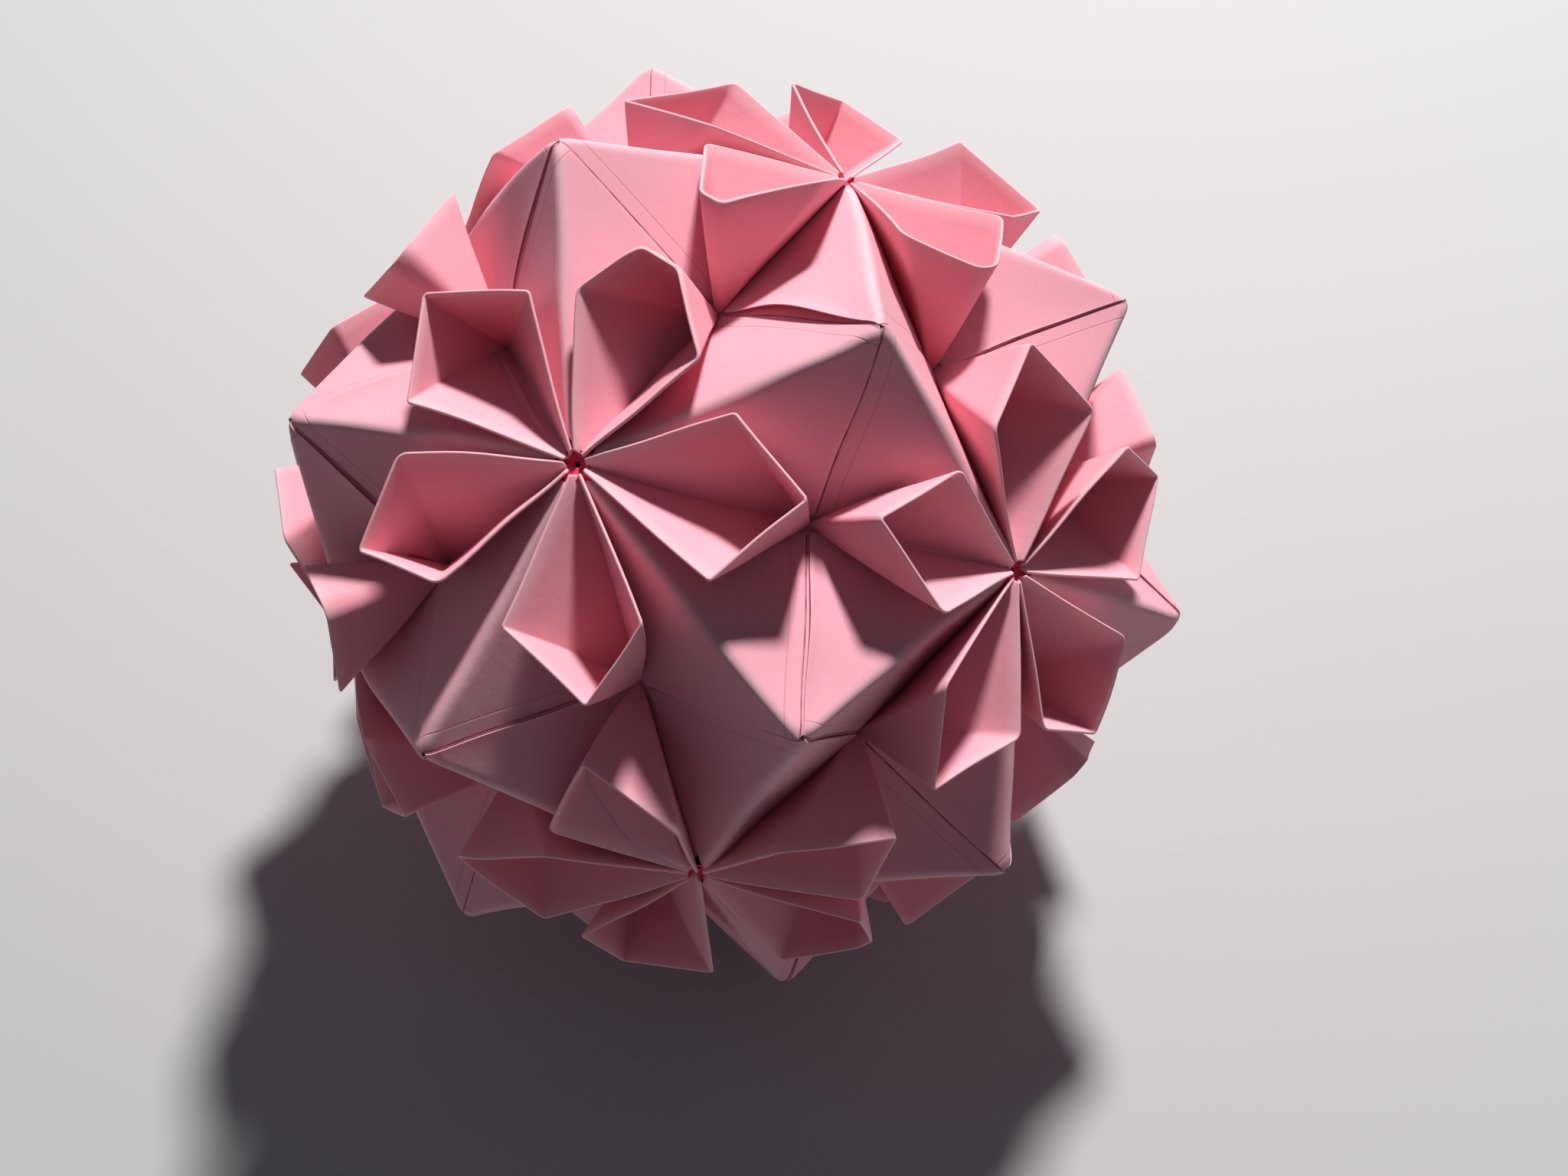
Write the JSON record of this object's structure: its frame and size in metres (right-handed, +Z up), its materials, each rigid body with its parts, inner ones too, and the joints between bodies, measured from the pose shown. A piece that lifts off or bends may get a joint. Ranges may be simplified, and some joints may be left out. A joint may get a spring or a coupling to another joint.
{
  "type": "kusudama paper ball",
  "caption": "Ball of folded paper units locked into each other: a peak over each face, and between the peaks flowers of open four-sided cup petals around a small central hole.",
  "frame": {"origin": "middle of the ball", "axes": "+Z up as the ball stands on the table, through the middle of one valley, which runs along Y between two flower centres; +X to the right of that valley"},
  "size_m": [0.103, 0.103, 0.103],
  "materials": {
    "pink_paper": "matt pastel pink paper, uncoated"
  },
  "bodies": {
    "root": {"unit_01": "pink_paper", "unit_02": "pink_paper", "unit_03": "pink_paper", "unit_04": "pink_paper", "unit_05": "pink_paper", "unit_06": "pink_paper", "unit_07": "pink_paper", "unit_08": "pink_paper", "unit_09": "pink_paper", "unit_10": "pink_paper", "unit_11": "pink_paper", "unit_12": "pink_paper", "unit_13": "pink_paper", "unit_14": "pink_paper", "unit_15": "pink_paper", "unit_16": "pink_paper", "unit_17": "pink_paper", "unit_18": "pink_paper", "unit_19": "pink_paper", "unit_20": "pink_paper", "unit_21": "pink_paper", "unit_22": "pink_paper", "unit_23": "pink_paper", "unit_24": "pink_paper", "unit_25": "pink_paper", "unit_26": "pink_paper", "unit_27": "pink_paper", "unit_28": "pink_paper", "unit_29": "pink_paper", "unit_30": "pink_paper"}
  },
  "joints": []
}
